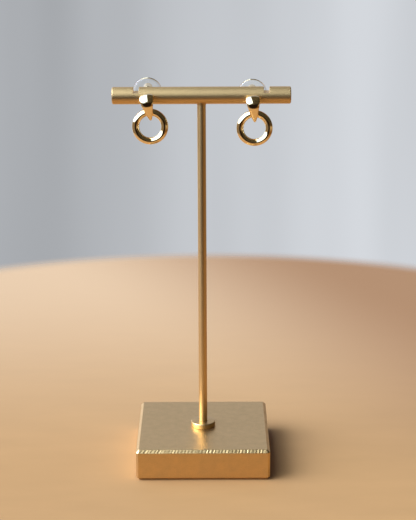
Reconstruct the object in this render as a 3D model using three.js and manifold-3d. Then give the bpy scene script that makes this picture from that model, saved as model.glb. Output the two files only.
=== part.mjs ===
// A pair of drop earrings hung on a T-bar display stand.
//
// Millimetres, +Z up. +X runs along the bar and -Y is the front. The origin is the centre of the
// base's underside, so the stand rests on the plane z = 0.
//
// Each earring is a stud and a ring. The stud is one soldered piece: a horn-shaped claw that starts
// broad at the top, bows forwards and tapers down to a point, a narrow strap that closes the claw
// into a loop at the back, and a thin ear post. The ring hangs free in that loop. Behind the bar a
// soft disc and a bullet-shaped core hold the ear post.

import * as THREE from 'three';
import { mergeVertices } from 'three/addons/utils/BufferGeometryUtils.js';
import Module from 'manifold-3d';

const wasm = await Module();
wasm.setup();

// ---------------------------------------------------------------- driving dimensions

const BASE = { side: 50, height: 12, edgeBreak: 1.1, cornerBreak: 0.8, socketDepth: 8 };
const POST = { diameter: 3.2, intoBar: 2, clearance: 0.1 };
const COLLAR = { diameter: 9.3, height: 1.9, edgeBreak: 0.2 };
const BAR = { diameter: 6.3, length: 65, axisHeight: 140.85, endBreak: 0.35, earHole: 3 };
const NOTCH = { fromCentre: 23.7, width: 2.1, depth: 1.9 };

// Claw and strap are given in the stud's own frame, whose origin lies on the ear post's axis, inside
// the bar. Seen from the side the claw's outer face is a short straight back end, two arcs and a
// straight taper. Near the point the crown and the thickness shrink to a share of the half width.
const CLAW = {
  backEnd: [-3.5, 1.35],
  topArc: { centre: [-5.226, -1.214], radius: 3, from: 72, to: 135 },
  frontArc: { centre: [-4.8, -1.64], radius: 3.6, to: 205 },
  taper: 5.5,
  crown: 0.7,
  crownShare: 0.9,
  thickness: 0.9,
  thicknessShare: 1.5,
  sections: 28,
};

// The strap's middle line from the top, down past the bar and forwards to the claw's point.
const STRAP = { thickness: 0.6, topHalfWidth: 1.7, footHalfWidth: 0.4, narrowAt: 0.45, sections: 24 };
const STRAP_LINE = [
  [-3.86, 1.1], [-3.86, -0.4], [-3.56, -1.8], [-2.95, -3.15], [-2.5, -4.4],
  [-2.6, -5.7], [-3.3, -6.8], [-4.4, -7.4], [-5.4, -7.7],
];
const EAR_POST = { diameter: 0.9, root: -3.75, tail: 8.6, tipLength: 0.4 };

// Half the claw's width at points along its sweep, from the back end (0) to the point (1).
const CLAW_WIDTHS = [
  [0, 2.25], [0.11, 2.38], [0.28, 2.52], [0.48, 2.2], [0.62, 1.85], [0.72, 1.62], [0.81, 1.4],
  [0.86, 1.2], [0.95, 0.8], [0.985, 0.6], [1, 0.42],
];

// The ring's section is a soft diamond, with a bevel on each side of a narrow ridge.
const RING = { outer: 13.2, inner: 7.95, depth: 2.3, roundness: 1.6, hangDrop: 5.8, hangFront: 3.72 };
const DISC = { diameter: 10.5, thickness: 1.1, bore: 1.5, rim: 0.35 };
const CORE = { diameter: 3.5, length: 5.2, bore: 1.5, boreDepth: 4.05, rim: 0.25, nose: 1.0 };

const SEAT_GAP = 0.3;
const SAG = 7; // degrees that each stud tips forwards in its oversize hole

// Where each earring hangs along the bar, how high it sits in its oversize hole, how far its claw
// leans, and where its ring settles.
const EARRINGS = [
  { side: 'left', x: -19.7, rise: 0.35, lean: 9.5, ringX: -18.65 },
  { side: 'right', x: 18.58, rise: -0.35, lean: 5.5, ringX: 19.24 },
];

// ---------------------------------------------------------------- finishes

const satinGold = new THREE.MeshStandardMaterial({ color: 0xc9a877, roughness: 0.38, metalness: 1 });
const polishedGold = new THREE.MeshStandardMaterial({ color: 0xe9b75f, roughness: 0.08, metalness: 1 });
const clearSilicone = new THREE.MeshStandardMaterial({
  color: 0xe8ecec, roughness: 0.25, metalness: 0, transparent: true, opacity: 0.35,
});

// ---------------------------------------------------------------- helpers

const radians = THREE.MathUtils.degToRad;
const barRadius = BAR.diameter / 2;
const postRadius = POST.diameter / 2;

/** Turns a closed geometry into a solid that can be joined and cut. */
function solid(geometry) {
  const bare = geometry.clone();
  bare.deleteAttribute('normal');
  bare.deleteAttribute('uv');
  const merged = mergeVertices(bare, 1e-4);
  return new wasm.Manifold(new wasm.Mesh({
    numProp: 3,
    vertProperties: new Float32Array(merged.attributes.position.array),
    triVerts: new Uint32Array(merged.index.array),
  }));
}

/** Turns a solid back into a geometry. */
function geometryOf(body) {
  const { vertProperties, triVerts } = body.getMesh();
  const geometry = new THREE.BufferGeometry();
  geometry.setAttribute('position', new THREE.BufferAttribute(vertProperties, 3));
  geometry.setIndex(new THREE.BufferAttribute(triVerts, 1));
  geometry.computeVertexNormals();
  return geometry;
}

/** A closed solid of revolution about Y from [radius, height] pairs that start and end on the axis. */
function turned(profile, segments) {
  return new THREE.LatheGeometry(profile.map(([radius, height]) => new THREE.Vector2(radius, height)),
    segments);
}

/** A solid rod along +Z between two heights. */
function rodZ(radius, bottom, top, segments) {
  return new THREE.CylinderGeometry(radius, radius, top - bottom, segments)
    .rotateX(Math.PI / 2)
    .translate(0, 0, (top + bottom) / 2);
}

/** A rectangular cutter given by its centre and its sides. */
function block(width, depth, height, x, y, z) {
  return new THREE.BoxGeometry(width, depth, height).translate(x, y, z);
}

/** Skins closed sections of equal point count, one after the other, and caps both ends. */
function loft(sections) {
  const count = sections[0].length;
  const positions = sections.flatMap((section) => section.flatMap((point) => point.toArray()));
  const triangles = [];
  for (let row = 0; row < sections.length - 1; row += 1) {
    for (let column = 0; column < count; column += 1) {
      const here = row * count + column;
      const beside = row * count + ((column + 1) % count);
      triangles.push(here, beside, here + count, beside, beside + count, here + count);
    }
  }
  const last = (sections.length - 1) * count;
  for (let column = 1; column < count - 1; column += 1) {
    triangles.push(0, column + 1, column);
    triangles.push(last, last + column, last + column + 1);
  }
  const geometry = new THREE.BufferGeometry();
  geometry.setAttribute('position', new THREE.Float32BufferAttribute(positions, 3));
  geometry.setIndex(triangles);
  return geometry;
}

// ---------------------------------------------------------------- stand

/** A square block with its four upright corners and all its long edges broken at 45 degrees. */
function baseBlock() {
  const half = BASE.side / 2;
  const corner = half - BASE.cornerBreak;
  const outline = new THREE.Shape([
    [corner, -half], [half, -corner], [half, corner], [corner, half],
    [-corner, half], [-half, corner], [-half, -corner], [-corner, -half],
  ].map(([x, y]) => new THREE.Vector2(x, y)));
  const body = new THREE.ExtrudeGeometry(outline, {
    depth: BASE.height - 2 * BASE.edgeBreak,
    bevelEnabled: true,
    bevelSegments: 1,
    bevelThickness: BASE.edgeBreak,
    bevelSize: BASE.edgeBreak,
    bevelOffset: -BASE.edgeBreak,
  }).translate(0, 0, BASE.edgeBreak);
  const socket = rodZ(postRadius + POST.clearance, BASE.height - BASE.socketDepth, BASE.height + 1, 32);
  return geometryOf(solid(body).subtract(solid(socket)));
}

/** The upright rod, seated in the base's socket and in a blind hole under the bar. */
function uprightPost() {
  const top = BAR.axisHeight - barRadius + POST.intoBar;
  return rodZ(postRadius, BASE.height - BASE.socketDepth, top, 32);
}

/** The low round collar that stands on the base around the post's foot. */
function postCollar() {
  const inner = postRadius + POST.clearance;
  const outer = COLLAR.diameter / 2;
  const profile = [
    [inner, 0], [outer, 0], [outer, COLLAR.height - COLLAR.edgeBreak],
    [outer - COLLAR.edgeBreak, COLLAR.height], [inner, COLLAR.height], [inner, 0],
  ];
  return turned(profile, 48).rotateX(Math.PI / 2).translate(0, 0, BASE.height);
}

/** The round bar, cut for the post, for both ear posts and with a notch near each end. */
function crossBar() {
  const end = BAR.length / 2;
  const chamfered = barRadius - BAR.endBreak;
  const profile = [
    [0, -end], [chamfered, -end], [barRadius, -end + BAR.endBreak],
    [barRadius, end - BAR.endBreak], [chamfered, end], [0, end],
  ];
  let bar = solid(turned(profile, 48).rotateZ(Math.PI / 2));
  const socketTop = -barRadius + POST.intoBar + SEAT_GAP;
  bar = bar.subtract(solid(rodZ(postRadius + POST.clearance, -barRadius - 1, socketTop, 32)));
  const earHole = new THREE.CylinderGeometry(BAR.earHole / 2, BAR.earHole / 2, BAR.diameter + 2, 24);
  for (const { x } of EARRINGS) {
    bar = bar.subtract(solid(earHole.clone().translate(x, 0, 0)));
  }
  for (const sign of [-1, 1]) {
    const height = NOTCH.depth + 1;
    const middle = barRadius - NOTCH.depth + height / 2;
    const cutter = block(NOTCH.width, BAR.diameter + 2, height, sign * NOTCH.fromCentre, 0, middle);
    bar = bar.subtract(solid(cutter));
  }
  return geometryOf(bar);
}

// ---------------------------------------------------------------- earring

/** Half the claw's width at a point along its sweep, blended between the rows of the table. */
function clawHalfWidth(along) {
  const row = CLAW_WIDTHS.findIndex(([place]) => place >= along);
  const [toPlace, toWidth] = CLAW_WIDTHS[Math.max(row, 1)];
  const [fromPlace, fromWidth] = CLAW_WIDTHS[Math.max(row, 1) - 1];
  return THREE.MathUtils.mapLinear(along, fromPlace, toPlace, fromWidth, toWidth);
}

/** The point of an arc at an angle in degrees. */
function onArc({ centre: [x, y], radius }, angle) {
  return new THREE.Vector2(x + radius * Math.cos(radians(angle)), y + radius * Math.sin(radians(angle)));
}

/** The claw's outer face seen from the side: the path's x is the depth (y) and its y the height. */
function clawSweep() {
  const { backEnd, topArc, frontArc, taper } = CLAW;
  const topStart = onArc(topArc, topArc.from);
  const taperStart = onArc(frontArc, frontArc.to);
  const heading = radians(frontArc.to + 90);
  const path = new THREE.Path([new THREE.Vector2(...backEnd), topStart]);
  path.absarc(...topArc.centre, topArc.radius, radians(topArc.from), radians(topArc.to), false);
  path.absarc(...frontArc.centre, frontArc.radius, radians(topArc.to), radians(frontArc.to), false);
  path.lineTo(taperStart.x + taper * Math.cos(heading), taperStart.y + taper * Math.sin(heading));
  return path;
}

/**
 * One lens-shaped section of the claw: a crowned outer face and a flatter inner face that meet in
 * an edge on each side. It stands square to the claw's sweep.
 */
function clawSection(sweep, along) {
  const point = sweep.getPointAt(along);
  const heading = sweep.getTangentAt(along);
  const apex = new THREE.Vector3(0, point.x, point.y);
  const outward = new THREE.Vector3(0, heading.y, -heading.x);
  const halfWidth = clawHalfWidth(along);
  const crown = Math.min(CLAW.crown, halfWidth * CLAW.crownShare);
  const thickness = Math.min(CLAW.thickness, halfWidth * CLAW.thicknessShare);
  const points = [];
  const steps = 20;
  for (let step = 0; step < steps; step += 1) {
    const around = (step / steps) * 2 * Math.PI;
    const rise = Math.sin(around);
    const inward = rise > 0 ? crown * (1 - rise) : crown - (thickness - crown) * rise;
    points.push(apex.clone().addScaledVector(outward, -inward).setX(halfWidth * Math.cos(around)));
  }
  return points;
}

/** One oblong section of the strap, square to its middle line and with its corners taken off. */
function strapSection(line, along) {
  const middle = line.getPointAt(along);
  const heading = line.getTangentAt(along);
  const outward = new THREE.Vector3(0, heading.z, -heading.y);
  const narrowing = Math.min(along / STRAP.narrowAt, 1);
  const wide = THREE.MathUtils.lerp(STRAP.topHalfWidth, STRAP.footHalfWidth, narrowing);
  const deep = STRAP.thickness / 2;
  const corner = deep / 2;
  return [
    [wide, deep - corner], [wide - corner, deep], [corner - wide, deep], [-wide, deep - corner],
    [-wide, corner - deep], [corner - wide, -deep], [wide - corner, -deep], [wide, corner - deep],
  ].map(([across, out]) => middle.clone().addScaledVector(outward, out).setX(across));
}

/** Skins the sections made at even steps from the start to the end of a line. */
function skinned(section, line, steps) {
  const sections = [];
  for (let step = 0; step <= steps; step += 1) {
    sections.push(section(line, step / steps));
  }
  return solid(loft(sections));
}

/** The claw, its closing strap and the ear post, soldered into one piece, in the stud's frame. */
function stud() {
  const claw = skinned(clawSection, clawSweep(), CLAW.sections);
  const strapLine = new THREE.CatmullRomCurve3(STRAP_LINE.map(([y, z]) => new THREE.Vector3(0, y, z)));
  const strap = skinned(strapSection, strapLine, STRAP.sections);
  const radius = EAR_POST.diameter / 2;
  const earPost = turned([
    [0, EAR_POST.root], [radius, EAR_POST.root], [radius, EAR_POST.tail - EAR_POST.tipLength],
    [radius / 2, EAR_POST.tail], [0, EAR_POST.tail],
  ], 16);
  return geometryOf(claw.add(strap).add(solid(earPost)));
}

/** The drop ring, about the centre of its hole, lying in the XZ plane. */
function dropRing() {
  const radial = (RING.outer - RING.inner) / 4;
  const middle = (RING.outer + RING.inner) / 4;
  const power = 2 / RING.roundness;
  const soften = (value) => Math.sign(value) * Math.abs(value) ** power;
  const profile = [];
  const steps = 16;
  for (let step = 0; step <= steps; step += 1) {
    const around = ((step % steps) / steps) * 2 * Math.PI;
    profile.push([
      middle + radial * soften(Math.cos(around)),
      (RING.depth / 2) * soften(Math.sin(around)),
    ]);
  }
  return turned(profile, 60);
}

/** The clear comfort disc, a flat washer with a rounded rim, lying behind the bar. */
function backDisc() {
  const front = barRadius + SEAT_GAP;
  const back = front + DISC.thickness;
  const outer = DISC.diameter / 2;
  const inner = DISC.bore / 2;
  return turned([
    [inner, front], [outer - DISC.rim, front], [outer, front + DISC.rim], [outer, back - DISC.rim],
    [outer - DISC.rim, back], [inner, back], [inner, front],
  ], 48);
}

/** The bullet-shaped core: a short barrel with a domed end and a blind bore for the ear post. */
function backCore() {
  const front = barRadius + 2 * SEAT_GAP + DISC.thickness;
  const back = front + CORE.length;
  const outer = CORE.diameter / 2;
  const bore = CORE.bore / 2;
  const profile = [[0, front + CORE.boreDepth], [bore, front + CORE.boreDepth], [bore, front]];
  profile.push([outer - CORE.rim, front], [outer, front + CORE.rim]);
  const steps = 5;
  for (let step = 0; step <= steps; step += 1) {
    const angle = (step / steps) * (Math.PI / 2);
    profile.push([outer - CORE.nose * (1 - Math.cos(angle)), back - CORE.nose * (1 - Math.sin(angle))]);
  }
  profile.push([0, back]);
  return turned(profile, 32);
}

// ---------------------------------------------------------------- assembly

function piece(name, geometry, material) {
  const mesh = new THREE.Mesh(geometry, material);
  mesh.name = name;
  return mesh;
}

const stand = new THREE.Group();
const bar = piece('cross_bar', crossBar(), satinGold);
bar.position.z = BAR.axisHeight;
stand.add(
  piece('base_block', baseBlock(), satinGold),
  piece('post_collar', postCollar(), satinGold),
  piece('post', uprightPost(), satinGold),
  bar,
);

function earring({ side, x, rise, lean, ringX }) {
  const hung = new THREE.Group();
  hung.position.set(x, 0, BAR.axisHeight + rise);
  hung.rotation.set(radians(SAG), -radians(lean), 0);
  hung.add(
    piece(`${side}_stud`, stud(), polishedGold),
    piece(`${side}_back_disc`, backDisc(), clearSilicone),
    piece(`${side}_back_core`, backCore(), polishedGold),
  );
  const ring = piece(`${side}_drop_ring`, dropRing(), polishedGold);
  const middle = (RING.outer + RING.inner) / 4;
  ring.position.set(ringX, -RING.hangFront, BAR.axisHeight + rise - RING.hangDrop - middle);
  const pair = new THREE.Group();
  pair.add(hung, ring);
  return pair;
}

const displayedPair = new THREE.Group();
displayedPair.add(stand, ...EARRINGS.map(earring));

export default displayedPair;
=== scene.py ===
"""Looks of a pair of drop earrings hung on a T-bar display stand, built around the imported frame.

Metres, +Z up. +X runs along the bar and -Y is the front, as in the frame. The stand is satin
champagne gold, the earrings are polished yellow gold, and their comfort discs are clear silicone.
"""

import math
import random

import bmesh
import bpy
from bpy.props import FloatProperty, FloatVectorProperty, PointerProperty
from mathutils import Matrix, Vector


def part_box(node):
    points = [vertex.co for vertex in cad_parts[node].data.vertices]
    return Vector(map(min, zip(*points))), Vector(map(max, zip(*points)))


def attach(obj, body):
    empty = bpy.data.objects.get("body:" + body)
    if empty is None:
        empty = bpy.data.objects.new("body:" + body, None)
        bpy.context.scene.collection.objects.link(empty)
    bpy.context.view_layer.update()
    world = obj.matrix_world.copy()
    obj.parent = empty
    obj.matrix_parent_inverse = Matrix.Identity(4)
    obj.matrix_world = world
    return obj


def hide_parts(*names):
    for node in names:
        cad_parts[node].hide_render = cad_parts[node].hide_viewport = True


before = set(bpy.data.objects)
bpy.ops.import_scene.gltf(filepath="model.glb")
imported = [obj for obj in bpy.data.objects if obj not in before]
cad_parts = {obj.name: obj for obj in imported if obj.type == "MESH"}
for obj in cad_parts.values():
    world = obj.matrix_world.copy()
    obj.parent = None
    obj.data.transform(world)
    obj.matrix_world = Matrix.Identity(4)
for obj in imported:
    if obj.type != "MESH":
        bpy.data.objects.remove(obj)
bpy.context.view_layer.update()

bl_info = {
    "name": "Drop earrings on a T-bar stand",
    "version": (1, 0, 0),
    "blender": (4, 5, 0),
    "location": "3D View > Sidebar > Earrings",
    "description": "Builds a pair of horn-shaped drop earrings and the small stand they hang on",
    "category": "Add Mesh",
}

MM = 0.001

# ------------------------------------------------------------------ where things are

BASE_LOW, BASE_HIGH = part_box("base_block")
COLLAR_LOW, COLLAR_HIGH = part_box("post_collar")
POST_LOW, POST_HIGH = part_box("post")
BAR_LOW, BAR_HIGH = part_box("cross_bar")
BAR_RADIUS = (BAR_HIGH.z - BAR_LOW.z) / 2
BAR_AXIS = (BAR_HIGH.z + BAR_LOW.z) / 2
POST_RADIUS = (POST_HIGH.x - POST_LOW.x) / 2

# How far each stud tips forwards in its hole.
SAG = math.radians(7)

# Each stud's own frame: its place along the bar, its height above the bar's axis and its sideways lean.
STUDS = {
    "left": {"along": -19.7 * MM, "rise": 0.35 * MM, "lean": math.radians(9.5)},
    "right": {"along": 18.58 * MM, "rise": -0.35 * MM, "lean": math.radians(5.5)},
}


def stud_frame(side):
    """The matrix that takes a stud's own frame, -Y forwards, to its place on the bar."""
    stud = STUDS[side]
    place = Matrix.Translation((stud["along"], 0, BAR_AXIS + stud["rise"]))
    return place @ Matrix.Rotation(SAG, 4, "X") @ Matrix.Rotation(-stud["lean"], 4, "Y")


# ------------------------------------------------------------------ sizes and colours


class StandSizes(bpy.types.PropertyGroup):
    """Sizes of the stand that the frame's boxes don't give."""

    edge_break: FloatProperty(
        name="Base edge break", description="Width of the 45 degree break along the base's long edges",
        default=1.1 * MM, unit="LENGTH")
    corner_break: FloatProperty(
        name="Base corner break", description="Width of the break down the base's upright corners",
        default=0.8 * MM, unit="LENGTH")
    worn_edge: FloatProperty(
        name="Worn edge", description="Radius that wear leaves on the base's and the collar's sharp edges",
        default=0.07 * MM, unit="LENGTH")
    mark_pitch: FloatProperty(
        name="Cutter mark pitch",
        description="Length of each facet that the cutter left on the base's top breaks",
        default=0.62 * MM, unit="LENGTH")
    mark_depth: FloatProperty(
        name="Cutter mark depth", description="Depth of the cutter's marks on the base's top breaks",
        default=0.07 * MM, unit="LENGTH")
    mark_slant: FloatProperty(
        name="Cutter mark slant", description="How far each cutter mark runs sideways down the break",
        default=0.5 * MM, unit="LENGTH")
    collar_rim: FloatProperty(
        name="Collar rim", description="Width of the break around the collar's top",
        default=0.22 * MM, unit="LENGTH")
    post_flare: FloatProperty(
        name="Post flare", description="How far the post's seat under the bar stands out",
        default=0.12 * MM, unit="LENGTH")
    bar_end_break: FloatProperty(
        name="Bar end break", description="Width of the break around each end of the bar",
        default=0.35 * MM, unit="LENGTH")
    notch_width: FloatProperty(
        name="Notch width", description="Width of the notch near each end of the bar",
        default=2.1 * MM, unit="LENGTH")
    notch_place: FloatProperty(
        name="Notch place", description="Distance from the bar's middle to each notch's middle",
        default=23.7 * MM, unit="LENGTH")
    notch_depth: FloatProperty(
        name="Notch depth", description="Depth of each notch below the bar's top",
        default=1.9 * MM, unit="LENGTH")
    notch_edge: FloatProperty(
        name="Notch edge", description="Width of the break that the cutter left around each notch",
        default=0.2 * MM, unit="LENGTH")


class EarringSizes(bpy.types.PropertyGroup):
    """Sizes of the earrings that the frame's boxes don't give."""

    claw_crown: FloatProperty(
        name="Claw crown", description="How far the claw's outer face is domed across its width",
        default=0.7 * MM, unit="LENGTH")
    claw_thickness: FloatProperty(
        name="Claw thickness", description="Thickness of the claw at its middle",
        default=0.9 * MM, unit="LENGTH")
    strap_thickness: FloatProperty(
        name="Strap thickness", description="Thickness of the strap that closes the claw",
        default=0.6 * MM, unit="LENGTH")
    ear_post: FloatProperty(
        name="Ear post", description="Diameter of the ear post",
        default=0.9 * MM, unit="LENGTH")
    ring_bevel: FloatProperty(
        name="Ring section", description="Power of the ring's section: 1 is a diamond, 2 is round",
        default=1.6, min=1, max=3)
    ring_inner: FloatProperty(
        name="Ring hole", description="Diameter of the drop ring's hole",
        default=7.95 * MM, unit="LENGTH")
    disc_diameter: FloatProperty(
        name="Disc diameter", description="Diameter of the comfort disc",
        default=10.5 * MM, unit="LENGTH")
    disc_thickness: FloatProperty(
        name="Disc thickness", description="Thickness of the comfort disc",
        default=1.1 * MM, unit="LENGTH")
    core_diameter: FloatProperty(
        name="Core diameter", description="Diameter of the bullet-shaped core",
        default=3.5 * MM, unit="LENGTH")
    core_length: FloatProperty(
        name="Core length", description="Length of the bullet-shaped core",
        default=5.2 * MM, unit="LENGTH")
    seat_gap: FloatProperty(
        name="Seat gap", description="Room between the bar, the disc and the core",
        default=0.3 * MM, unit="LENGTH")


class Finishes(bpy.types.PropertyGroup):
    """Colours and roughness of the three finishes."""

    satin_colour: FloatVectorProperty(
        name="Satin gold", description="Reflected colour of the stand's champagne-gold plating",
        default=(0.72, 0.46, 0.19), subtype="COLOR", min=0, max=1)
    satin_roughness: FloatProperty(
        name="Satin roughness", description="Roughness of the bead-blasted plating",
        default=0.34, min=0, max=1)
    polished_colour: FloatVectorProperty(
        name="Polished gold", description="Reflected colour of the earrings' yellow-gold plating",
        default=(1.0, 0.78, 0.45), subtype="COLOR", min=0, max=1)
    polished_roughness: FloatProperty(
        name="Polished roughness", description="Roughness of the mirror-polished plating",
        default=0.05, min=0, max=1)
    silicone_colour: FloatVectorProperty(
        name="Clear silicone", description="Tint of the comfort disc",
        default=(0.97, 0.985, 0.99), subtype="COLOR", min=0, max=1)


class StudioSettings(bpy.types.PropertyGroup):
    """The floor and the light."""

    floor_colour: FloatVectorProperty(
        name="Floor", description="Colour of the plain pale floor under the stand",
        default=(0.425, 0.212, 0.072), subtype="COLOR", min=0, max=1)
    # Painted light: the floor's far colour is paler, standing in for the sheen and the brighter room light
    # towards the back.
    floor_far_painted_light: FloatVectorProperty(
        name="Far floor", description="Colour of the floor's far rim, where the room is brighter",
        default=(0.55, 0.325, 0.16), subtype="COLOR", min=0, max=1)
    window_strength: FloatProperty(
        name="Window strength", description="Brightness of the big soft light on the left",
        default=2.75, min=0)
    window_core: FloatProperty(
        name="Window core", description="Brightness of the middle of that light",
        default=13.0, min=0)
    window_colour: FloatVectorProperty(
        name="Window colour", description="Colour of the big soft light",
        default=(0.75, 0.97, 1.27), subtype="COLOR", min=0, max=2)
    core_colour: FloatVectorProperty(
        name="Window core colour", description="Colour of the middle of that light",
        default=(0.76, 0.95, 1.36), subtype="COLOR", min=0, max=2)
    backdrop_colour: FloatVectorProperty(
        name="Backdrop", description="Colour behind the stand, in the middle",
        default=(0.52, 0.54, 0.57), subtype="COLOR", min=0, max=1)


# ------------------------------------------------------------------ mesh helpers

# How many flats each round piece has.
ROUND_STEPS = {"collar": 160, "post": 96, "bar": 108, "ear_post": 32, "ring": 240, "disc": 128, "core": 96}

# Points closer than this are one point.
SAME_POINT = 0.001 * MM

# The cutter's marks: the plain border around them, how far one may be out of place as a share of the
# pitch, and the shallowest and deepest as shares of the mark depth.
MARK_SEED = 4
MARK_BORDER = 0.04 * MM
MARK_WANDER = 0.3
MARK_DEPTHS = (0.3, 1.3)


def spun(outline, steps):
    """Spins an outline of (radius, height) points once about Z, closing it unless it ends on Z."""
    mesh = bmesh.new()
    verts = [mesh.verts.new((radius, 0, height)) for radius, height in outline]
    ends_on_axis = outline[0][0] == 0 and outline[-1][0] == 0
    onward = verts[1:] if ends_on_axis else verts[1:] + verts[:1]
    edges = [mesh.edges.new(pair) for pair in zip(verts, onward)]
    bmesh.ops.spin(
        mesh, geom=verts + edges, cent=(0, 0, 0), axis=(0, 0, 1), angle=2 * math.pi, steps=steps,
        use_merge=True, use_duplicate=False)
    bmesh.ops.remove_doubles(mesh, verts=mesh.verts, dist=SAME_POINT)
    bmesh.ops.recalc_face_normals(mesh, faces=mesh.faces)
    return mesh


def skinned(loops):
    """Skins closed loops of equal count, one after the other, and closes both ends."""
    mesh = bmesh.new()
    spoke = mesh.verts.layers.int.new("spoke")
    start = bmesh.ops.create_circle(mesh, segments=len(loops[0]), radius=1)["verts"]
    for index, vert in enumerate(start):
        vert[spoke] = index
        vert.co = loops[0][index]
    edges = list(mesh.edges)
    for loop in loops[1:]:
        grown = bmesh.ops.extrude_edge_only(mesh, edges=edges)["geom"]
        edges = [part for part in grown if isinstance(part, bmesh.types.BMEdge)]
        for vert in (part for part in grown if isinstance(part, bmesh.types.BMVert)):
            vert.co = loop[vert[spoke]]
    rims = [edge for edge in mesh.edges if edge.is_boundary]
    bmesh.ops.holes_fill(mesh, edges=rims, sides=0)
    bmesh.ops.recalc_face_normals(mesh, faces=mesh.faces)
    return mesh


def break_edges(mesh, edges, width, segments=1):
    """Bevels edges by a width."""
    bmesh.ops.bevel(
        mesh, geom=edges, offset=width, offset_type="OFFSET", segments=segments, profile=0.5,
        affect="EDGES", material=-1, clamp_overlap=True)


def sharp_edges(mesh, angle=math.radians(25)):
    """The edges whose two faces turn by more than an angle."""
    return [edge for edge in mesh.edges if edge.is_manifold and edge.calc_face_angle() > angle]


def climb(edge):
    """How far an edge rises from one end to the other."""
    return abs(edge.verts[0].co.z - edge.verts[1].co.z)


def tip_over(mesh, angle):
    """Turns a spun mesh about X, so that its axis runs from front to back."""
    bmesh.ops.rotate(mesh, verts=mesh.verts, cent=(0, 0, 0), matrix=Matrix.Rotation(angle, 3, "X"))


def cutter_marks(mesh, faces, sizes):
    """Breaks long faces up into the small slanting facets that a chattering cutter leaves."""
    chance = random.Random(MARK_SEED)
    bmesh.ops.inset_individual(mesh, faces=faces, thickness=MARK_BORDER, use_even_offset=True)
    for face in faces:
        inward = -face.normal
        along = Vector((0, 0, 1)).cross(face.normal).normalized()
        middle = face.calc_center_median().z
        long_edges = sorted(face.edges, key=lambda edge: edge.calc_length())[-2:]
        count = round(long_edges[0].calc_length() / sizes.mark_pitch)
        cut = bmesh.ops.subdivide_edges(mesh, edges=long_edges, cuts=count - 1, use_grid_fill=True)
        verts = sorted((part for part in cut["geom_inner"] if isinstance(part, bmesh.types.BMVert)),
                       key=lambda vert: vert.co.dot(along))
        for edge in {edge for vert in verts for edge in vert.link_edges}:
            edge.smooth = False
        lows = [vert for vert in verts if vert.co.z < middle]
        highs = [vert for vert in verts if vert.co.z > middle]
        for index, (low, high) in enumerate(zip(lows, highs)):
            wander = along * chance.uniform(-MARK_WANDER, MARK_WANDER) * sizes.mark_pitch
            low.co += wander - along * sizes.mark_slant / 2
            high.co += wander + along * sizes.mark_slant / 2
            if index % 2:
                for vert in (low, high):
                    vert.co += inward * sizes.mark_depth * chance.uniform(*MARK_DEPTHS)


def make_piece(name, mesh, material, body, nodes=(), levels=0, flat=False):
    """Turns a bmesh into a finished piece that rides on a body and stands for CAD nodes."""
    data = bpy.data.meshes.new(name)
    for face in mesh.faces:
        face.smooth = True
    mesh.to_mesh(data)
    mesh.free()
    data.materials.append(material)
    piece = bpy.data.objects.new(name, data)
    bpy.context.scene.collection.objects.link(piece)
    if levels:
        subdivision = piece.modifiers.new("Smooth", "SUBSURF")
        subdivision.levels = levels
        subdivision.render_levels = levels
    if flat:
        normals = piece.modifiers.new("Flat faces", "WEIGHTED_NORMAL")
        normals.mode = "FACE_AREA_WITH_ANGLE"
        normals.weight = 100
        normals.thresh = 0.001 * MM * MM
        normals.keep_sharp = True
    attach(piece, body)
    if nodes:
        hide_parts(*nodes)
    return piece


def arc(centre, radius, start, end, steps):
    """Points along an arc, angles in degrees."""
    angles = [math.radians(start + (end - start) * step / steps) for step in range(steps + 1)]
    return [Vector((centre[0] + radius * math.cos(angle), centre[1] + radius * math.sin(angle)))
            for angle in angles]


def catmull_rom(points, steps):
    """A smooth line through points, with a number of steps between each two."""
    padded = [2 * points[0] - points[1], *points, 2 * points[-1] - points[-2]]
    line = []
    for before, here, there, after in zip(padded, padded[1:], padded[2:], padded[3:]):
        for step in range(steps):
            t = step / steps
            line.append(0.5 * (2 * here + (there - before) * t
                               + (2 * before - 5 * here + 4 * there - after) * t * t
                               + (3 * here - before - 3 * there + after) * t * t * t))
    return [*line, points[-1]]


def stations(line, count):
    """Even places along a line: (how far along, point, heading) for each."""
    lengths = [0.0]
    for here, there in zip(line, line[1:]):
        lengths.append(lengths[-1] + (there - here).length)
    found = []
    segment = 0
    for index in range(count + 1):
        reach = lengths[-1] * index / count
        while segment < len(line) - 2 and lengths[segment + 1] < reach:
            segment += 1
        span = lengths[segment + 1] - lengths[segment]
        point = line[segment].lerp(line[segment + 1], (reach - lengths[segment]) / span)
        found.append((index / count, point))
    headings = []
    for index in range(len(found)):
        before = found[max(index - 1, 0)][1]
        after = found[min(index + 1, count)][1]
        headings.append((after - before).normalized())
    return [(along, point, heading) for (along, point), heading in zip(found, headings)]


def rounded_cap(loop, heading, reach):
    """Three loops that close a skin's end in a soft dome."""
    middle = sum(loop, Vector()) / len(loop)
    caps = []
    for angle in (30, 60, 82):
        shrink = math.cos(math.radians(angle))
        ahead = heading * reach * math.sin(math.radians(angle))
        caps.append([middle + (point - middle) * shrink + ahead for point in loop])
    return caps


# ------------------------------------------------------------------ materials

# Pattern scales: a unit to the millimetre, or drawn out up the post or along the bar.
EVEN = (1000, 1000, 1000)
DRAWN_UP = (1000, 1000, 60)
DRAWN_ALONG = (60, 1000, 1000)

# Dust on the satin plating, spacing and radius in millimetres.
DUST = {"spacing": 8.0, "radius": 0.13, "colour": (0.85, 0.84, 0.8)}

# The satin plating's darkest and lightest mottling, as shares of its colour.
MOTTLE = (0.87, 1.04)


def new_material(name):
    """A material with a Principled shader, and its node tree."""
    material = bpy.data.materials.new(name)
    material.use_nodes = True
    tree = material.node_tree
    return material, tree, tree.nodes["Principled BSDF"]


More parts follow.
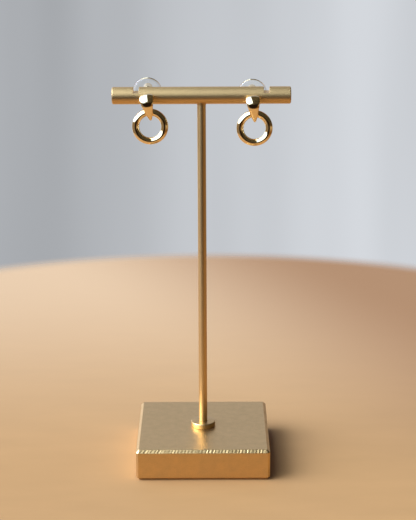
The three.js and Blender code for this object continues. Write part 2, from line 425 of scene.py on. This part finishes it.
def pattern_space(tree, scale=EVEN):
    """Object coordinates on a scale, in millimetres if none is given."""
    place = tree.nodes.new("ShaderNodeTexCoord")
    mapping = tree.nodes.new("ShaderNodeMapping")
    mapping.inputs["Scale"].default_value = scale
    tree.links.new(place.outputs["Object"], mapping.inputs["Vector"])
    return mapping.outputs["Vector"]


def noise(tree, space, scale, detail):
    """A noise pattern's value."""
    node = tree.nodes.new("ShaderNodeTexNoise")
    node.inputs["Scale"].default_value = scale
    node.inputs["Detail"].default_value = detail
    tree.links.new(space, node.inputs["Vector"])
    return node.outputs["Fac"]


def spread(tree, value, low, high):
    """Spreads a pattern's middle range over low to high."""
    node = tree.nodes.new("ShaderNodeMapRange")
    node.inputs["From Min"].default_value = 0.3
    node.inputs["From Max"].default_value = 0.7
    node.inputs["To Min"].default_value = low
    node.inputs["To Max"].default_value = high
    tree.links.new(value, node.inputs["Value"])
    return node.outputs["Result"]


def tinted(tree, value, dark, light):
    """A colour that runs from dark to light with a pattern."""
    node = tree.nodes.new("ShaderNodeMix")
    node.data_type = "RGBA"
    node.inputs["A"].default_value = (*dark, 1)
    node.inputs["B"].default_value = (*light, 1)
    tree.links.new(value, node.inputs["Factor"])
    return node.outputs["Result"]


def smooth_step(tree, value, low, high):
    """0 below low, 1 above high, smooth between; the other way round if low is the greater."""
    node = tree.nodes.new("ShaderNodeMapRange")
    node.interpolation_type = "SMOOTHSTEP"
    node.inputs["From Min"].default_value = min(low, high)
    node.inputs["From Max"].default_value = max(low, high)
    node.inputs["To Min"].default_value = 0 if low < high else 1
    node.inputs["To Max"].default_value = 1 if low < high else 0
    tree.links.new(value, node.inputs["Value"])
    return node.outputs["Result"]


def calculated(tree, operation, *values):
    """The result of a Math node on sockets or numbers."""
    node = tree.nodes.new("ShaderNodeMath")
    node.operation = operation
    for socket, value in zip(node.inputs, values):
        if isinstance(value, (int, float)):
            socket.default_value = value
        else:
            tree.links.new(value, socket)
    return node.outputs["Value"]


def blended(tree, factor, below, above):
    """Mixes two colours, each a socket or three numbers."""
    node = tree.nodes.new("ShaderNodeMix")
    node.data_type = "RGBA"
    tree.links.new(factor, node.inputs["Factor"])
    for socket, colour in ((node.inputs["A"], below), (node.inputs["B"], above)):
        if isinstance(colour, tuple):
            socket.default_value = (*colour, 1)
        else:
            tree.links.new(colour, socket)
    return node.outputs["Result"]


def specks(tree, spacing, radius):
    """1 inside small specks scattered with a spacing, 0 elsewhere; both in millimetres."""
    node = tree.nodes.new("ShaderNodeTexVoronoi")
    node.inputs["Scale"].default_value = 1 / spacing
    tree.links.new(pattern_space(tree), node.inputs["Vector"])
    return smooth_step(tree, node.outputs["Distance"], radius / spacing, 0.5 * radius / spacing)


def bump(tree, height, strength, distance):
    """A bump from a height pattern."""
    node = tree.nodes.new("ShaderNodeBump")
    node.inputs["Strength"].default_value = strength
    node.inputs["Distance"].default_value = distance
    tree.links.new(height, node.inputs["Height"])
    return node.outputs["Normal"]


def satin_gold(name="satin_gold", stretch=EVEN, extra=0.0):
    """Bead-blasted champagne-gold plating: fine grain, soft mottling and a few pale specks of dust.

    The clouds can be drawn out along round stock, and extra roughness added to it.
    """
    finish = bpy.context.scene.finishes
    material, tree, shader = new_material(name)
    colour = Vector(finish.satin_colour)
    cloud = noise(tree, pattern_space(tree, stretch), scale=0.35, detail=3)
    blotches = noise(tree, pattern_space(tree), scale=2.2, detail=2)
    mottle = calculated(tree, "MULTIPLY_ADD", blotches, 0.5, calculated(tree, "MULTIPLY", cloud, 0.5))
    plating = tinted(tree, spread(tree, mottle, 0, 1), colour * MOTTLE[0], colour * MOTTLE[1])
    dust = specks(tree, DUST["spacing"], DUST["radius"])
    tree.links.new(blended(tree, dust, plating, DUST["colour"]), shader.inputs["Base Color"])
    shader.inputs["Metallic"].default_value = 1
    rough = finish.satin_roughness + extra
    tree.links.new(spread(tree, cloud, rough + 0.03, rough - 0.03), shader.inputs["Roughness"])
    grain = noise(tree, pattern_space(tree), scale=8, detail=1)
    tree.links.new(bump(tree, grain, strength=1.0, distance=0.012 * MM), shader.inputs["Normal"])
    return material


def polished_gold():
    """Mirror-polished yellow-gold plating, very slightly wavy from the polishing wheel."""
    finish = bpy.context.scene.finishes
    material, tree, shader = new_material("polished_gold")
    colour = Vector(finish.polished_colour)
    shader.inputs["Metallic"].default_value = 1
    cloud = noise(tree, pattern_space(tree), scale=0.8, detail=2)
    plating = tinted(tree, spread(tree, cloud, 0, 1), colour * 0.97, colour)
    tree.links.new(plating, shader.inputs["Base Color"])
    rough = finish.polished_roughness
    tree.links.new(spread(tree, cloud, rough, rough + 0.03), shader.inputs["Roughness"])
    ripple = noise(tree, pattern_space(tree), scale=1.6, detail=1)
    tree.links.new(bump(tree, ripple, strength=0.25, distance=0.02 * MM), shader.inputs["Normal"])
    return material


def clear_silicone():
    """Clear soft silicone with a faint haze."""
    finish = bpy.context.scene.finishes
    material, tree, shader = new_material("clear_silicone")
    shader.inputs["Base Color"].default_value = (*finish.silicone_colour, 1)
    shader.inputs["Transmission Weight"].default_value = 1
    shader.inputs["IOR"].default_value = 1.41
    haze = noise(tree, pattern_space(tree), scale=1.2, detail=2)
    tree.links.new(spread(tree, haze, 0.03, 0.10), shader.inputs["Roughness"])
    return material


# ------------------------------------------------------------------ the stand

# The base's long top breaks: how far upwards they face, and an area that only they exceed.
TOP_BREAK_RISE = (0.6, 0.8)
TOP_BREAK_AREA = 20 * MM * MM

# Room between the post and the collar's bore.
COLLAR_ROOM = 0.05 * MM


class EARRINGS_OT_base(bpy.types.Operator):
    """Build the square base with its broken edges"""

    bl_idname = "earrings.base"
    bl_label = "Base"

    def execute(self, context):
        sizes = context.scene.stand_sizes
        mesh = bmesh.new()
        bmesh.ops.create_cube(mesh, size=1)
        span = BASE_HIGH - BASE_LOW
        bmesh.ops.scale(mesh, verts=mesh.verts, vec=span)
        bmesh.ops.translate(mesh, verts=mesh.verts, vec=(BASE_LOW + BASE_HIGH) / 2)
        upright = [edge for edge in mesh.edges if climb(edge) > span.z / 2]
        break_edges(mesh, upright, sizes.corner_break)
        level = [edge for edge in mesh.edges if climb(edge) < MM]
        break_edges(mesh, level, sizes.edge_break)
        break_edges(mesh, sharp_edges(mesh), sizes.worn_edge, 2)
        mesh.normal_update()
        steepest, flattest = TOP_BREAK_RISE
        breaks = [
            face for face in mesh.faces
            if steepest < face.normal.z < flattest and face.calc_area() > TOP_BREAK_AREA
        ]
        cutter_marks(mesh, breaks, sizes)
        make_piece("base", mesh, satin_gold(), "stand", ["base_block"], flat=True)
        return {"FINISHED"}


class EARRINGS_OT_collar(bpy.types.Operator):
    """Build the low collar around the post's foot"""

    bl_idname = "earrings.collar"
    bl_label = "Collar"

    def execute(self, context):
        sizes = context.scene.stand_sizes
        outer = (COLLAR_HIGH.x - COLLAR_LOW.x) / 2
        bore = POST_RADIUS + COLLAR_ROOM
        top = COLLAR_HIGH.z
        bottom = COLLAR_LOW.z
        rim = sizes.collar_rim
        outline = [(bore, bottom), (outer, bottom), (outer, top - rim), (outer - rim, top), (bore, top)]
        mesh = spun(outline, ROUND_STEPS["collar"])
        break_edges(mesh, sharp_edges(mesh), sizes.worn_edge, 2)
        make_piece("collar", mesh, satin_gold("satin_gold_collar"), "stand",
                   ["post_collar"], flat=True)
        return {"FINISHED"}


class EARRINGS_OT_post(bpy.types.Operator):
    """Build the thin upright post"""

    bl_idname = "earrings.post"
    bl_label = "Post"

    def execute(self, context):
        sizes = context.scene.stand_sizes
        under_bar = BAR_LOW.z
        flare = sizes.post_flare
        inner = POST_RADIUS * 0.5
        outline = [
            (inner, POST_LOW.z), (POST_RADIUS, POST_LOW.z), (POST_RADIUS, under_bar - 3 * flare),
            (POST_RADIUS + flare, under_bar - flare), (POST_RADIUS + flare, POST_HIGH.z),
            (inner, POST_HIGH.z),
        ]
        mesh = spun(outline, ROUND_STEPS["post"])
        make_piece("post", mesh, satin_gold("satin_gold_post", DRAWN_UP, 0.05), "stand",
                   ["post"], flat=True)
        return {"FINISHED"}


class EARRINGS_OT_bar(bpy.types.Operator):
    """Build the round bar with a notch near each end"""

    bl_idname = "earrings.bar"
    bl_label = "Bar"

    def execute(self, context):
        sizes = context.scene.stand_sizes
        segments = ROUND_STEPS["bar"]
        end = BAR_HIGH.x
        start = sizes.notch_place - sizes.notch_width / 2
        stop = sizes.notch_place + sizes.notch_width / 2
        rim = sizes.bar_end_break
        floor = BAR_RADIUS - sizes.notch_depth

        def loop(place, radius=BAR_RADIUS, cut=False):
            """One loop of the bar, with its top cut down to the notch's floor where asked."""
            points = []
            for index in range(segments):
                angle = math.pi / 2 + index * 2 * math.pi / segments
                height = radius * math.sin(angle)
                if cut:
                    height = min(height, floor)
                points.append(Vector((place, radius * math.cos(angle), BAR_AXIS + height)))
            return points

        right = [
            loop(start), loop(start, cut=True), loop(stop, cut=True), loop(stop),
            loop(end - rim), loop(end, BAR_RADIUS - rim),
        ]
        left = [
            loop(-end, BAR_RADIUS - rim), loop(rim - end), loop(-stop), loop(-stop, cut=True),
            loop(-start, cut=True), loop(-start),
        ]
        mesh = skinned(left + right)
        bmesh.ops.dissolve_degenerate(mesh, dist=SAME_POINT, edges=mesh.edges)
        past_notch = stop + 0.1 * MM
        notch = [
            edge for edge in sharp_edges(mesh, math.radians(40))
            if abs(edge.verts[0].co.x) < past_notch and abs(edge.verts[1].co.x) < past_notch
            and abs(edge.verts[0].co.x - edge.verts[1].co.x) < 0.01 * MM
        ]
        break_edges(mesh, notch, sizes.notch_edge, 2)
        make_piece("bar", mesh, satin_gold("satin_gold_bar", DRAWN_ALONG, 0.09), "stand",
                   ["cross_bar"], flat=True)
        return {"FINISHED"}


# ------------------------------------------------------------------ the earrings

# The claw's outer face from the side, in the stud's frame: (depth, height) in millimetres. An arc is
# its centre, its radius and its start and end in degrees, and the taper runs on straight to the point.
CLAW_BACK_END = Vector((-3.5, 1.35))
CLAW_TOP_ARC = ((-5.226, -1.214), 3.0, 72, 135)
CLAW_FRONT_ARC = ((-4.8, -1.64), 3.6, 135, 205)
CLAW_TAPER = 5.35

# Half the claw's width in millimetres, from the back end (0) to the point (1).
CLAW_WIDTHS = (
    (0, 2.25), (0.11, 2.38), (0.28, 2.52), (0.48, 2.2), (0.62, 1.85), (0.72, 1.62), (0.81, 1.4),
    (0.86, 1.2), (0.95, 0.8), (1, 0.5),
)

# The strap's middle line from the top, down past the bar and forwards to the claw's point.
STRAP_LINE = (
    (-3.86, 1.1), (-3.86, -0.4), (-3.56, -1.8), (-2.95, -3.15), (-2.5, -4.4),
    (-2.6, -5.7), (-3.3, -6.8), (-4.4, -7.4), (-5.4, -7.7),
)

# Half the strap's width at its top and foot in millimetres, and how far along it has narrowed.
STRAP_HALF_WIDTHS = (1.7, 0.4)
STRAP_NARROW_AT = 0.45

# Near its point the claw's crown and thickness are held to these shares of its half width.
CROWN_SHARE = 0.9
BODY_SHARE = 1.5

# How many sections each is skinned through, and how far its rounded ends reach.
CLAW_SECTIONS = 44
CLAW_SPOKES = 28
CLAW_BACK_CAP = 0.2 * MM
CLAW_TIP_CAP = 0.38 * MM
STRAP_SECTIONS = 30
STRAP_CAP = 0.15 * MM

# The ear post's ends along its axis and the length of its narrowed tip, in millimetres.
EAR_POST_ROOT = -3.75
EAR_POST_TAIL = 8.6
EAR_POST_TIP = 0.4

# Points around the ring's section.
RING_SECTION_POINTS = 56


def between(rows, place):
    """The smooth value at a place between rows of (place, value)."""
    ahead = next((index for index, row in enumerate(rows) if row[0] >= place), len(rows) - 1)
    ahead = max(ahead, 1)
    (x0, y0), (x1, y1) = rows[ahead - 1], rows[ahead]
    before = rows[max(ahead - 2, 0)]
    after = rows[min(ahead + 1, len(rows) - 1)]
    slope0 = (y1 - before[1]) / (x1 - before[0])
    slope1 = (after[1] - y0) / (after[0] - x0)
    t = (place - x0) / (x1 - x0)
    step = x1 - x0
    return ((2 * t ** 3 - 3 * t ** 2 + 1) * y0 + (t ** 3 - 2 * t ** 2 + t) * step * slope0
            + (3 * t ** 2 - 2 * t ** 3) * y1 + (t ** 3 - t ** 2) * step * slope1)


def claw_mesh(sizes):
    """The claw in the stud's frame, as a skin of lens-shaped sections."""
    heading = math.radians(CLAW_FRONT_ARC[3] + 90)
    front = arc(*CLAW_FRONT_ARC, steps=24)
    line = [CLAW_BACK_END, *arc(*CLAW_TOP_ARC, steps=20), *front[1:]]
    line.append(front[-1] + CLAW_TAPER * Vector((math.cos(heading), math.sin(heading))))
    crown = sizes.claw_crown / MM
    thickness = sizes.claw_thickness / MM
    places = stations(line, CLAW_SECTIONS)
    loops = []
    for along, point, onward in places:
        outward = Vector((0, onward.y, -onward.x))
        half = between(CLAW_WIDTHS, along)
        dome = min(crown, half * CROWN_SHARE)
        body = min(thickness, half * BODY_SHARE)
        loop = []
        for spoke in range(CLAW_SPOKES):
            angle = 2 * math.pi * spoke / CLAW_SPOKES
            rise = math.sin(angle)
            inward = dome * (1 - rise) if rise > 0 else dome - (body - dome) * rise
            place = Vector((half * math.cos(angle), point.x, point.y)) - outward * inward
            loop.append(place * MM)
        loops.append(loop)
    back = -Vector((0, places[0][2].x, places[0][2].y))
    tip = Vector((0, places[-1][2].x, places[-1][2].y))
    start = rounded_cap(loops[0], back, CLAW_BACK_CAP)[::-1]
    finish = rounded_cap(loops[-1], tip, CLAW_TIP_CAP)
    return skinned(start + loops + finish)


def strap_mesh(sizes):
    """The strap in the stud's frame, as a skin of oblong sections."""
    line = catmull_rom([Vector(point) for point in STRAP_LINE], steps=8)
    deep = sizes.strap_thickness / MM / 2
    corner = deep / 2
    places = stations(line, STRAP_SECTIONS)
    loops = []
    for along, point, onward in places:
        outward = Vector((0, onward.y, -onward.x))
        narrow = min(along / STRAP_NARROW_AT, 1)
        wide = STRAP_HALF_WIDTHS[0] + (STRAP_HALF_WIDTHS[1] - STRAP_HALF_WIDTHS[0]) * narrow
        outline = [
            (wide, deep - corner), (wide - corner, deep), (corner - wide, deep), (-wide, deep - corner),
            (-wide, corner - deep), (corner - wide, -deep), (wide - corner, -deep), (wide, corner - deep),
        ]
        middle = Vector((0, point.x, point.y))
        loops.append([(middle + outward * out + Vector((across, 0, 0))) * MM for across, out in outline])
    top = places[0][2]
    start = rounded_cap(loops[0], -Vector((0, top.x, top.y)), STRAP_CAP)[::-1]
    return skinned(start + loops)


class EARRINGS_OT_studs(bpy.types.Operator):
    """Build both studs: claw, closing strap and ear post"""

    bl_idname = "earrings.studs"
    bl_label = "Studs"

    def execute(self, context):
        sizes = context.scene.earring_sizes
        gold = polished_gold()
        radius = sizes.ear_post / 2
        for side in STUDS:
            claw = claw_mesh(sizes)
            strap = strap_mesh(sizes)
            post = spun([
                (0, EAR_POST_ROOT * MM), (radius, EAR_POST_ROOT * MM),
                (radius, (EAR_POST_TAIL - EAR_POST_TIP) * MM), (radius * 0.5, EAR_POST_TAIL * MM),
                (0, EAR_POST_TAIL * MM),
            ], ROUND_STEPS["ear_post"])
            tip_over(post, -math.pi / 2)
            for part in (claw, strap, post):
                bmesh.ops.transform(part, matrix=stud_frame(side), verts=part.verts)
            make_piece(f"{side}_claw", claw, gold, "stand", [f"{side}_stud"], levels=2)
            make_piece(f"{side}_strap", strap, gold, "stand", levels=2)
            make_piece(f"{side}_ear_post", post, gold, "stand", flat=True)
        return {"FINISHED"}


class EARRINGS_OT_rings(bpy.types.Operator):
    """Build both drop rings"""

    bl_idname = "earrings.rings"
    bl_label = "Drop rings"

    def execute(self, context):
        sizes = context.scene.earring_sizes
        gold = polished_gold()
        for side in STUDS:
            low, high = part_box(f"{side}_drop_ring")
            outer = (high.x - low.x) / 2
            inner = sizes.ring_inner / 2
            power = 2 / sizes.ring_bevel
            outline = []
            for step in range(RING_SECTION_POINTS):
                angle = 2 * math.pi * step / RING_SECTION_POINTS
                across = math.copysign(abs(math.cos(angle)) ** power, math.cos(angle))
                deep = math.copysign(abs(math.sin(angle)) ** power, math.sin(angle))
                radius = (outer + inner) / 2 + (outer - inner) / 2 * across
                outline.append((radius, (high.y - low.y) / 2 * deep))
            mesh = spun(outline, ROUND_STEPS["ring"])
            tip_over(mesh, math.pi / 2)
            bmesh.ops.translate(mesh, verts=mesh.verts, vec=(low + high) / 2)
            make_piece(f"{side}_ring", mesh, gold, f"{side}_ring", [f"{side}_drop_ring"])
        return {"FINISHED"}


class EARRINGS_OT_backs(bpy.types.Operator):
    """Build the clear comfort discs and the bullet-shaped cores"""

    bl_idname = "earrings.backs"
    bl_label = "Backs"

    def execute(self, context):
        sizes = context.scene.earring_sizes
        silicone = clear_silicone()
        gold = polished_gold()
        bore = 0.6 * MM
        front = BAR_RADIUS + sizes.seat_gap
        back = front + sizes.disc_thickness
        half = sizes.disc_thickness / 2
        flat = sizes.disc_diameter / 2 - half
        rim_steps = 14
        rim = [(flat + half * math.cos(angle), front + half + half * math.sin(angle))
               for angle in (math.pi * (step / rim_steps - 0.5) for step in range(rim_steps + 1))]
        core_front = back + sizes.seat_gap
        core_back = core_front + sizes.core_length
        width = sizes.core_diameter / 2
        mouth = 0.25 * MM
        nose = 1.0 * MM
        nose_steps = 12
        dome = [(width - nose + nose * math.cos(angle), core_back - nose + nose * math.sin(angle))
                for angle in (math.pi / 2 * step / nose_steps for step in range(nose_steps + 1))]
        for side in STUDS:
            disc = spun([(bore, front), (flat - half, front), *rim, (flat - half, back), (bore, back)],
                        ROUND_STEPS["disc"])
            core = spun([
                (0, core_back - 2 * nose), (bore, core_back - 2 * nose), (bore, core_front),
                (width - mouth, core_front), (width, core_front + mouth), *dome, (0, core_back),
            ], ROUND_STEPS["core"])
            for part in (disc, core):
                tip_over(part, -math.pi / 2)
                bmesh.ops.transform(part, matrix=stud_frame(side), verts=part.verts)
            make_piece(f"{side}_disc", disc, silicone, "stand",
                       [f"{side}_back_disc"], flat=True)
            make_piece(f"{side}_core", core, gold, "stand",
                       [f"{side}_back_core"], flat=True)
        return {"FINISHED"}


# ------------------------------------------------------------------ the stage

# The oval floor: its half axes, how far it is set back and lies below the base, and the painted shade on
# its right side.
FLOOR_REACH = Vector((0.25, 0.2245, 1))
FLOOR_SET_BACK = 0.064
FLOOR_DROP = 0.05 * MM
FLOOR_RIGHT_PAINTED_SHADE = (0.30, 0.14, 0.055)

# The way to the middle of the window's brightest part.
CORE_DIRECTION = (-0.80, -0.22, 0.56)

# The room's light by where it comes from; behind means beyond the stand.
ROOM_LIGHT = {
    "upper_left": (0.14, 0.12, 0.08),
    "upper_right": (0.075, 0.065, 0.04),
    "upper_gaps": (0.03, 0.026, 0.018),
    "left": (0.25, 0.19, 0.13),
    "right_low": (0.23, 0.11, 0.03),
    "right_middle": (0.48, 0.36, 0.22),
    "right_high": (0.08, 0.05, 0.02),
    "front_low": (0.015, 0.009, 0.006),
    "behind_left": (1.2, 1.3, 1.5),
    "behind_middle": (0.525, 0.575, 0.70),
    "behind_right": (0.37, 0.37, 0.37),
}

# The backdrop's left and right sides, as shares of its colour: painted shade on the left and painted light
# on the right.
BACKDROP_SIDES = (0.78, 1.24)

# The camera, in millimetres and degrees.
CAMERA_PLACE = (3.08, -540.4, 237.0)
CAMERA_LENS = 104.01
CAMERA_TURN = 0.1
CAMERA_DOWN = 16.347
CAMERA_ROLL = -0.25


def add_floor(studio):
    """A plain oval floor whose rim fades out, with painted light making it paler far off and painted shade
    making it darker to the right.
    """
    mesh = bmesh.new()
    bmesh.ops.create_circle(mesh, cap_ends=True, segments=128, radius=1)
    bmesh.ops.scale(mesh, verts=mesh.verts, vec=FLOOR_REACH)
    bmesh.ops.translate(mesh, verts=mesh.verts, vec=(0, FLOOR_SET_BACK, -FLOOR_DROP))
    data = bpy.data.meshes.new("floor")
    mesh.to_mesh(data)
    mesh.free()
    floor = bpy.data.objects.new("floor", data)
    bpy.context.scene.collection.objects.link(floor)
    material, tree, shader = new_material("pale_floor")
    colour = Vector(studio.floor_colour)
    cloud = noise(tree, pattern_space(tree, (30, 90, 30)), scale=1, detail=3)
    near = tinted(tree, spread(tree, cloud, 0, 1), colour * 0.94, colour)
    split = tree.nodes.new("ShaderNodeSeparateXYZ")
    tree.links.new(pattern_space(tree, (1, 1, 1)), split.inputs["Vector"])
    # Painted light: the floor is painted paler towards its far rim.
    away = smooth_step(tree, split.outputs["Y"], -0.03, 0.25)
    plain = blended(tree, away, near, tuple(studio.floor_far_painted_light))
    # Painted shade: the floor is painted darker to the right.
    rightwards = calculated(tree, "MULTIPLY_ADD", split.outputs["Y"], 0.5, split.outputs["X"])
    right_shade_share = smooth_step(tree, rightwards, 0.04, 0.2)
    tree.links.new(blended(tree, right_shade_share, plain, FLOOR_RIGHT_PAINTED_SHADE), shader.inputs["Base Color"])
    shader.inputs["Roughness"].default_value = 0.7
    shader.inputs["Specular IOR Level"].default_value = 0.2
    rim = tree.nodes.new("ShaderNodeVectorMath")
    rim.operation = "LENGTH"
    disc = tree.nodes.new("ShaderNodeMapping")
    disc.inputs["Scale"].default_value = (1 / FLOOR_REACH.x, 1 / FLOOR_REACH.y, 0)
    disc.inputs["Location"].default_value = (0, -FLOOR_SET_BACK / FLOOR_REACH.y, 0)
    tree.links.new(pattern_space(tree, (1, 1, 1)), disc.inputs["Vector"])
    tree.links.new(disc.outputs["Vector"], rim.inputs[0])
    tree.links.new(smooth_step(tree, rim.outputs["Value"], 1, 0.9), shader.inputs["Alpha"])
    data.materials.append(material)


def add_room(studio):
    """The room's soft light by direction.

    A big window with a brighter middle fills the upper left and the upper right is dim. The right is
    warm low down, the front is dark below the horizon, and the room is pale beyond the stand. The
    camera sees a backdrop in place of all this, with painted shade for soft folds, painted shade on its
    left and painted light on its right, and so do rays that pass through the clear discs towards it.
    """
    world = bpy.data.worlds.new("room")
    bpy.context.scene.world = world
    world.use_nodes = True
    tree = world.node_tree
    background = tree.nodes["Background"]
    direction = tree.nodes.new("ShaderNodeTexCoord").outputs["Generated"]
    split = tree.nodes.new("ShaderNodeSeparateXYZ")
    tree.links.new(direction, split.inputs["Vector"])
    side, depth, height = split.outputs

    frame_edge = calculated(tree, "MULTIPLY_ADD", height, 0.185, side)
    window = calculated(tree, "MULTIPLY", smooth_step(tree, frame_edge, 0.02, -0.03),
                        smooth_step(tree, depth, 0.65, 0.5))
    window = calculated(tree, "MULTIPLY", window, smooth_step(tree, depth, -0.97, -0.86))
    facing = tree.nodes.new("ShaderNodeVectorMath")
    facing.operation = "DOT_PRODUCT"
    facing.inputs[1].default_value = CORE_DIRECTION
    tree.links.new(direction, facing.inputs[0])
    pane = tuple(Vector(studio.window_colour) * studio.window_strength)
    core = tuple(Vector(studio.core_colour) * studio.window_core)
    light = blended(tree, smooth_step(tree, facing.outputs["Value"], 0.86, 0.97), pane, core)
    off_middle = smooth_step(tree, side, 0.05, 0.7)
    upper = blended(tree, off_middle, ROOM_LIGHT["upper_left"], ROOM_LIGHT["upper_right"])
    clutter = spread(tree, noise(tree, direction, scale=7, detail=2), 0, 1)
    upper = blended(tree, clutter, ROOM_LIGHT["upper_gaps"], upper)
    sky = blended(tree, window, upper, light)

    middle_height = smooth_step(tree, height, -0.4, -0.15)
    right = blended(tree, middle_height, ROOM_LIGHT["right_low"], ROOM_LIGHT["right_middle"])
    right = blended(tree, smooth_step(tree, height, -0.15, -0.02), right, ROOM_LIGHT["right_high"])
    level = blended(tree, smooth_step(tree, side, -0.3, 0.3), ROOM_LIGHT["left"], right)
    lower = blended(tree, smooth_step(tree, depth, -0.6, -0.85), level, ROOM_LIGHT["front_low"])
    front = blended(tree, smooth_step(tree, height, 0.08, 0.16), lower, sky)

    off_left = smooth_step(tree, side, -0.45, -0.08)
    back = blended(tree, off_left, ROOM_LIGHT["behind_left"], ROOM_LIGHT["behind_middle"])
    back = blended(tree, smooth_step(tree, side, 0.08, 0.5), back, ROOM_LIGHT["behind_right"])
    room = blended(tree, smooth_step(tree, depth, 0.5, 0.8), front, back)

    path = tree.nodes.new("ShaderNodeLightPath").outputs
    through = calculated(tree, "MULTIPLY", path["Is Transmission Ray"], smooth_step(tree, depth, 0.6, 0.8))
    straight = calculated(tree, "MAXIMUM", path["Is Camera Ray"], through)
    backdrop = Vector(studio.backdrop_colour)
    left_share, right_share = BACKDROP_SIDES
    # Painted light and shade on the backdrop: darker on the left, brighter on the right, and shaded folds.
    across = smooth_step(tree, side, -0.13, 0.13)
    backdrop_painted_sides = blended(tree, across, tuple(backdrop * left_share), tuple(backdrop * right_share))
    folds = tree.nodes.new("ShaderNodeMapping")
    folds.inputs["Scale"].default_value = (16, 0, 1.5)
    tree.links.new(direction, folds.inputs["Vector"])
    shade = spread(tree, noise(tree, folds.outputs["Vector"], scale=1, detail=1), 0.88, 1.1)
    lit = tree.nodes.new("ShaderNodeVectorMath")
    lit.operation = "SCALE"
    tree.links.new(backdrop_painted_sides, lit.inputs[0])
    tree.links.new(shade, lit.inputs["Scale"])
    shown = blended(tree, straight, room, lit.outputs["Vector"])
    tree.links.new(shown, background.inputs["Color"])


def add_camera():
    """The camera, in front of the stand and above it, looking down a little."""
    data = bpy.data.cameras.new("camera")
    data.sensor_fit = "VERTICAL"
    data.sensor_height = 36
    data.lens = CAMERA_LENS
    camera = bpy.data.objects.new("camera", data)
    place = Matrix.Translation([value * MM for value in CAMERA_PLACE])
    turn = Matrix.Rotation(math.radians(CAMERA_TURN), 4, "Z")
    tilt = Matrix.Rotation(math.radians(90 - CAMERA_DOWN), 4, "X")
    roll = Matrix.Rotation(math.radians(CAMERA_ROLL), 4, "Z")
    camera.matrix_world = place @ turn @ tilt @ roll
    bpy.context.scene.collection.objects.link(camera)
    bpy.context.scene.camera = camera


class EARRINGS_OT_stage(bpy.types.Operator):
    """Set up the floor, the light, the room and the camera"""

    bl_idname = "earrings.stage"
    bl_label = "Stage"

    def execute(self, context):
        studio = context.scene.studio_settings
        add_floor(studio)
        add_room(studio)
        add_camera()
        context.scene.view_settings.view_transform = "Standard"
        return {"FINISHED"}


# ------------------------------------------------------------------ the add-on

PIECE_OPERATORS = (
    EARRINGS_OT_base, EARRINGS_OT_collar, EARRINGS_OT_post, EARRINGS_OT_bar,
    EARRINGS_OT_studs, EARRINGS_OT_rings, EARRINGS_OT_backs, EARRINGS_OT_stage,
)
SETTINGS = (StandSizes, EarringSizes, Finishes, StudioSettings)


class EARRINGS_PT_build(bpy.types.Panel):
    """The builders of the pieces and the stage"""

    bl_label = "Drop earrings"
    bl_space_type = "VIEW_3D"
    bl_region_type = "UI"
    bl_category = "Earrings"

    def draw(self, context):
        for operator in PIECE_OPERATORS:
            self.layout.operator(operator.bl_idname)


def register():
    """Registers the settings, the builders and the panel."""
    for item in (*SETTINGS, *PIECE_OPERATORS, EARRINGS_PT_build):
        bpy.utils.register_class(item)
    bpy.types.Scene.stand_sizes = PointerProperty(type=StandSizes)
    bpy.types.Scene.earring_sizes = PointerProperty(type=EarringSizes)
    bpy.types.Scene.finishes = PointerProperty(type=Finishes)
    bpy.types.Scene.studio_settings = PointerProperty(type=StudioSettings)


def unregister():
    """Takes the panel, the builders and the settings away again."""
    del bpy.types.Scene.studio_settings
    del bpy.types.Scene.finishes
    del bpy.types.Scene.earring_sizes
    del bpy.types.Scene.stand_sizes
    for item in (EARRINGS_PT_build, *reversed(PIECE_OPERATORS), *reversed(SETTINGS)):
        bpy.utils.unregister_class(item)


def main():
    """Builds every piece and the stage."""
    register()
    bpy.ops.earrings.base()
    bpy.ops.earrings.collar()
    bpy.ops.earrings.post()
    bpy.ops.earrings.bar()
    bpy.ops.earrings.studs()
    bpy.ops.earrings.rings()
    bpy.ops.earrings.backs()
    bpy.ops.earrings.stage()


if __name__ == "__main__":
    main()
